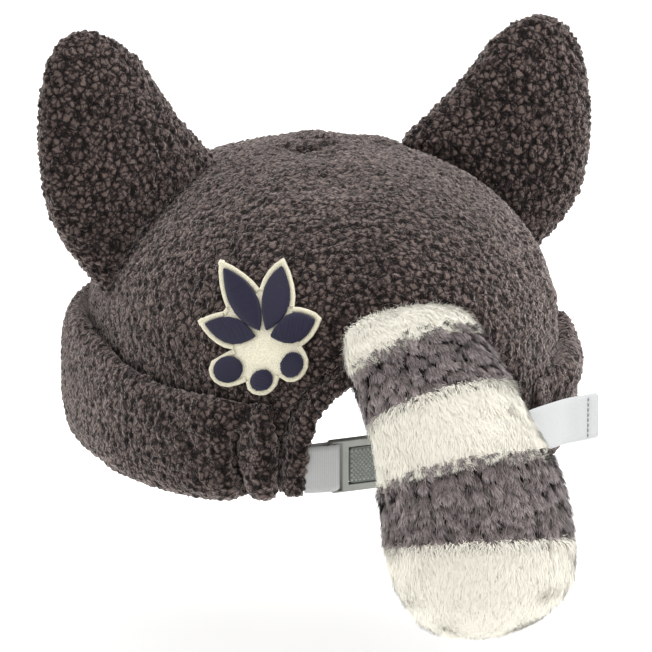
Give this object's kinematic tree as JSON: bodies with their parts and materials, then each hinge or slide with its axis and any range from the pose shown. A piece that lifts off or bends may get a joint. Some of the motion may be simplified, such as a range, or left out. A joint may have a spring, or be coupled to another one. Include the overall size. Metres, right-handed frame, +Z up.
{
  "type": "fluffy hat",
  "caption": "Padded fleece hat with a turned-up cuff, stuffed ears, a striped plush tail over an arch at the back, and a webbing strap with a cam clasp across the arch.",
  "frame": {"origin": "middle of the head opening, on the plane of the cuff's lower edge", "axes": "+Z up, +Y towards the back of the hat where the tail hangs, +X towards the wearer's left"},
  "size_m": [0.2595, 0.3473, 0.2261],
  "materials": {
    "fleece_grey": "curled sherpa fleece, matt, with a soft sheen",
    "plush_grey": "long-pile plush, brushed downwards",
    "plush_cream": "long-pile plush, brushed downwards",
    "webbing_grey": "flat woven webbing with stitched hem",
    "moulded_grey": "moulded, fine matt texture",
    "thread_navy": "satin-stitch embroidery thread",
    "thread_cream": "satin-stitch embroidery thread"
  },
  "bodies": {
    "hat": {"crown": "fleece_grey", "cuff": "fleece_grey", "arch_facing": "fleece_grey", "ear_left": "fleece_grey", "ear_right": "fleece_grey", "tail_white_root": "plush_cream", "tail_grey_upper": "plush_grey", "tail_white_middle": "plush_cream", "tail_grey_lower": "plush_grey", "tail_white_tip": "plush_cream", "strap_left": "webbing_grey", "strap_right": "webbing_grey", "clasp_frame": "moulded_grey", "patch_backing": "thread_cream", "patch_leaf_1": "thread_navy", "patch_leaf_2": "thread_navy", "patch_leaf_3": "thread_navy", "patch_leaf_4": "thread_navy", "patch_berry_1": "thread_navy", "patch_berry_2": "thread_navy", "patch_berry_3": "thread_navy"},
    "clasp_lever": {"clasp_lever": "moulded_grey"}
  },
  "joints": [
    {"name": "lever_hinge", "type": "hinge", "parent": "hat", "child": "clasp_lever", "pos_m": [0.01136, 0.09891, 0.0163], "axis": [0, 0, 1], "range_deg": [0, 60]}
  ]
}
